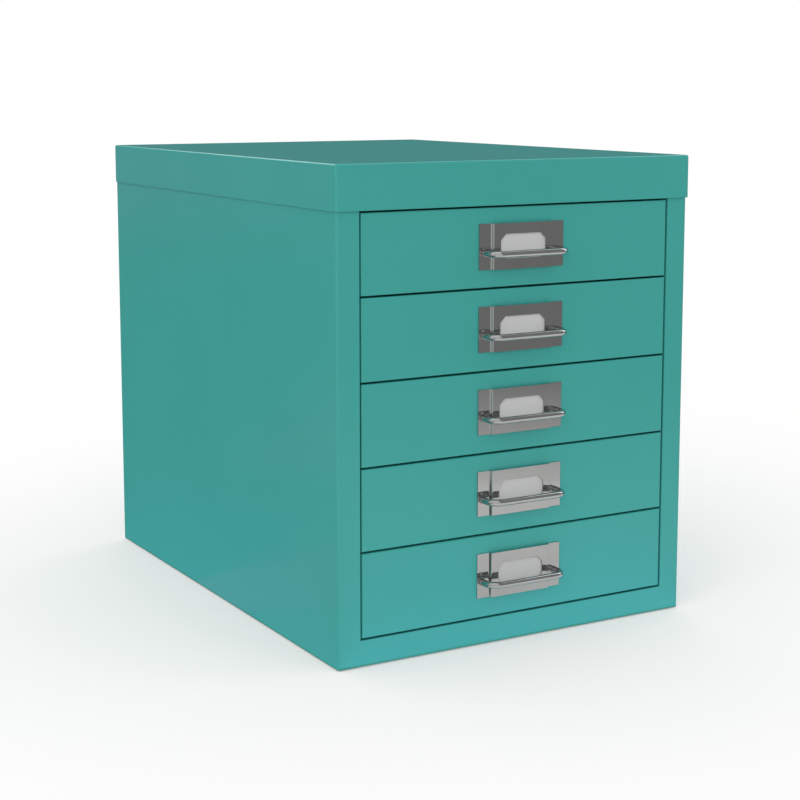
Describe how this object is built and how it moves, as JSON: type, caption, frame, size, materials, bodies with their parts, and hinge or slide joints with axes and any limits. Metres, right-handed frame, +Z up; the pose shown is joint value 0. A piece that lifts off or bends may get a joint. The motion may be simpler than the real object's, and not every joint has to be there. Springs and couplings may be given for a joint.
{
  "type": "multi-drawer cabinet",
  "caption": "Steel desktop cabinet with shallow flush drawers for A4 papers, a pan lid, and plated label holders with fixed wire pulls on the fronts.",
  "frame": {"origin": "middle of the floor under the whole cabinet, wire pulls included", "axes": "+Z up, drawers open towards -Y, +X to the right as seen from the front"},
  "size_m": [0.278, 0.3942, 0.325],
  "materials": {
    "carcass_paint": "semi-gloss powder coat, sea green",
    "drawer_paint": "semi-gloss powder coat, sea green",
    "holder_plate": "bright nickel plate",
    "handle_chrome": "polished chrome",
    "zinc_plate": "zinc-plated sheet",
    "card": "plain matt card",
    "rubber": "matt moulded rubber"
  },
  "bodies": {
    "carcass": {"left_side_panel": "carcass_paint", "right_side_panel": "carcass_paint", "back_panel": "carcass_paint", "lid": "carcass_paint", "base_pan": "carcass_paint", "bottom_front_rail": "carcass_paint", "top_front_rail": "carcass_paint", "foot_pads": "rubber", "rear_buffers": "rubber", "left_runner_1": "zinc_plate", "right_runner_1": "zinc_plate", "left_runner_2": "zinc_plate", "right_runner_2": "zinc_plate", "left_runner_3": "zinc_plate", "right_runner_3": "zinc_plate", "left_runner_4": "zinc_plate", "right_runner_4": "zinc_plate", "left_runner_5": "zinc_plate", "right_runner_5": "zinc_plate"},
    "drawer_1": {"drawer_tray_1": "drawer_paint", "drawer_front_1": "drawer_paint", "label_holder_1": "holder_plate", "wire_handle_1": "handle_chrome", "handle_clips_1": "zinc_plate"},
    "card_1": {"label_card_1": "card"},
    "drawer_2": {"drawer_tray_2": "drawer_paint", "drawer_front_2": "drawer_paint", "label_holder_2": "holder_plate", "wire_handle_2": "handle_chrome", "handle_clips_2": "zinc_plate"},
    "card_2": {"label_card_2": "card"},
    "drawer_3": {"drawer_tray_3": "drawer_paint", "drawer_front_3": "drawer_paint", "label_holder_3": "holder_plate", "wire_handle_3": "handle_chrome", "handle_clips_3": "zinc_plate"},
    "card_3": {"label_card_3": "card"},
    "drawer_4": {"drawer_tray_4": "drawer_paint", "drawer_front_4": "drawer_paint", "label_holder_4": "holder_plate", "wire_handle_4": "handle_chrome", "handle_clips_4": "zinc_plate"},
    "card_4": {"label_card_4": "card"},
    "drawer_5": {"drawer_tray_5": "drawer_paint", "drawer_front_5": "drawer_paint", "label_holder_5": "holder_plate", "wire_handle_5": "handle_chrome", "handle_clips_5": "zinc_plate"},
    "card_5": {"label_card_5": "card"}
  },
  "joints": [
    {"name": "drawer_1_slide", "type": "slide", "parent": "carcass", "child": "drawer_1", "axis": [0, -1, 0], "range_m": [0, 0.2688]},
    {"name": "drawer_2_slide", "type": "slide", "parent": "carcass", "child": "drawer_2", "axis": [0, -1, 0], "range_m": [0, 0.2688]},
    {"name": "drawer_3_slide", "type": "slide", "parent": "carcass", "child": "drawer_3", "axis": [0, -1, 0], "range_m": [0, 0.2688]},
    {"name": "drawer_4_slide", "type": "slide", "parent": "carcass", "child": "drawer_4", "axis": [0, -1, 0], "range_m": [0, 0.2688]},
    {"name": "drawer_5_slide", "type": "slide", "parent": "carcass", "child": "drawer_5", "axis": [0, -1, 0], "range_m": [0, 0.2688]},
    {"name": "card_1_slide", "type": "slide", "parent": "drawer_1", "child": "card_1", "axis": [0, 0, 1], "range_m": [0, 0.026]},
    {"name": "card_2_slide", "type": "slide", "parent": "drawer_2", "child": "card_2", "axis": [0, 0, 1], "range_m": [0, 0.026]},
    {"name": "card_3_slide", "type": "slide", "parent": "drawer_3", "child": "card_3", "axis": [0, 0, 1], "range_m": [0, 0.026]},
    {"name": "card_4_slide", "type": "slide", "parent": "drawer_4", "child": "card_4", "axis": [0, 0, 1], "range_m": [0, 0.026]},
    {"name": "card_5_slide", "type": "slide", "parent": "drawer_5", "child": "card_5", "axis": [0, 0, 1], "range_m": [0, 0.026]}
  ]
}
